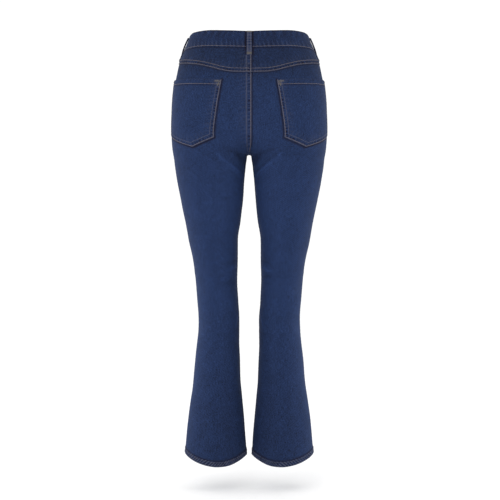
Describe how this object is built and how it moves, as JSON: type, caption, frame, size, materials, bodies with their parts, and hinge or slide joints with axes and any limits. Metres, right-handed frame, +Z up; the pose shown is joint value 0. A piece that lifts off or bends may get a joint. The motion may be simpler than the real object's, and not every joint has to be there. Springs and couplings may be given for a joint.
{
  "type": "bootcut jeans",
  "caption": "High-waisted bootcut jeans in dark blue stretch denim, hollow and filled out as worn, with yoke, patch pockets, belt loops, closed fly and flared legs.",
  "frame": {"origin": "middle of the waist opening, level with the waistband's top edge at the sides, where the wearer's waist holds the jeans up", "axes": "+Z up the wearer, +X to the wearer's right, -Y to the back of the jeans"},
  "size_m": [0.3686, 0.2398, 1.0248],
  "materials": {
    "denim": "dark blue cotton twill, soft mottled wash, tan topstitching",
    "button": "aged brass, plain domed face"
  },
  "bodies": {
    "root": {"back_panel_left": "denim", "back_panel_right": "denim", "front_panel_left": "denim", "front_panel_right": "denim", "yoke_left": "denim", "yoke_right": "denim", "waistband": "denim", "back_pocket_left": "denim", "back_pocket_right": "denim", "belt_loop_centre_back": "denim", "belt_loop_side_left": "denim", "belt_loop_side_right": "denim", "belt_loop_front_left": "denim", "belt_loop_front_right": "denim", "front_pocket_facing_left": "denim", "front_pocket_facing_right": "denim", "fly": "denim", "button": "button"}
  },
  "joints": []
}
